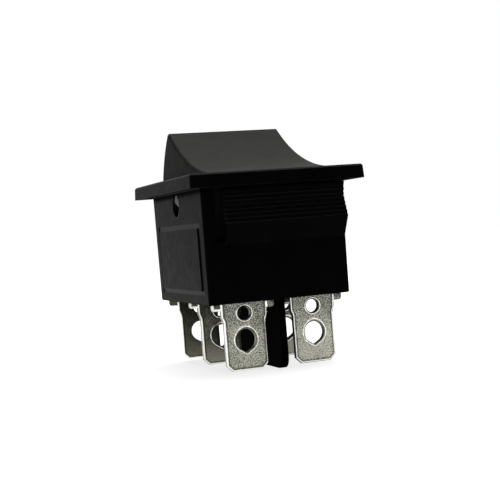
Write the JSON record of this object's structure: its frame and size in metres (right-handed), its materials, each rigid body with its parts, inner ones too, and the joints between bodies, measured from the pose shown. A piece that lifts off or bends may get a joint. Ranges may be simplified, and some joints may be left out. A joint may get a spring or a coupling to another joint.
{
  "type": "panel rocker switch",
  "caption": "Double-pole snap-in panel rocker switch: plain black dished rocker in a bezel, ridged snap wings at both ends and push-on tabs below.",
  "frame": {"origin": "centre of the panel cut-out, on the underside of the bezel, which seats on the panel's front face", "axes": "+Z out of the panel towards the finger, +X along the rocker's pivot, +Y along the long side towards the raised end of the rocker"},
  "size_m": [0.0262, 0.0322, 0.0361],
  "materials": {
    "black_housing": "moulded black nylon, fine satin grain",
    "black_rocker": "moulded black nylon, satin, worn a little lighter on the rim",
    "plunger_plastic": "natural acetal",
    "spring_steel": "drawn music wire",
    "contact_copper": "bare copper alloy strip",
    "contact_silver": "silver alloy contact face",
    "tinned_brass": "tin-plated brass strip, dull and grainy, bright at the coined edges"
  },
  "bodies": {
    "housing": {"housing": "black_housing", "common_terminal_left": "tinned_brass", "common_terminal_right": "tinned_brass", "throw_terminal_left_front": "tinned_brass", "contact_rivet_left_front": "contact_silver", "throw_terminal_left_rear": "tinned_brass", "contact_rivet_left_rear": "contact_silver", "throw_terminal_right_front": "tinned_brass", "contact_rivet_right_front": "contact_silver", "throw_terminal_right_rear": "tinned_brass", "contact_rivet_right_rear": "contact_silver"},
    "rocker": {"rocker": "black_rocker", "plunger_spring_left": "spring_steel", "plunger_spring_right": "spring_steel"},
    "plunger_left": {"plunger_left": "plunger_plastic"},
    "plunger_right": {"plunger_right": "plunger_plastic"},
    "bridge_left": {"contact_bridge_left": "contact_copper", "bridge_rivet_left_front": "contact_silver", "bridge_rivet_left_rear": "contact_silver"},
    "bridge_right": {"contact_bridge_right": "contact_copper", "bridge_rivet_right_front": "contact_silver", "bridge_rivet_right_rear": "contact_silver"}
  },
  "joints": [
    {"name": "rocker_tilt", "type": "hinge", "parent": "housing", "child": "rocker", "pos_m": [0, 0, -0.0018], "axis": [-1, 0, 0], "range_deg": [0, 42]},
    {"name": "bridge_left_tilt", "type": "hinge", "parent": "housing", "child": "bridge_left", "pos_m": [-0.00525, 0, -0.01248], "axis": [1, 0, 0], "range_deg": [0, 16]},
    {"name": "bridge_right_tilt", "type": "hinge", "parent": "housing", "child": "bridge_right", "pos_m": [0.00525, 0, -0.01248], "axis": [1, 0, 0], "range_deg": [0, 16]},
    {"name": "plunger_left_slide", "type": "slide", "parent": "rocker", "child": "plunger_left", "axis": [0, -0.3584, 0.9336], "range_m": [0, 0.0008], "stiffness_N_per_m": 500, "springref_m": -0.001, "deforming": ["plunger_spring_left"]},
    {"name": "plunger_right_slide", "type": "slide", "parent": "rocker", "child": "plunger_right", "axis": [0, -0.3584, 0.9336], "range_m": [0, 0.0008], "stiffness_N_per_m": 500, "springref_m": -0.001, "deforming": ["plunger_spring_right"]}
  ],
  "couplings": [
    {"joint": "bridge_left_tilt", "follows": "rocker_tilt", "ratio": 0.38},
    {"joint": "bridge_right_tilt", "follows": "rocker_tilt", "ratio": 0.38}
  ]
}
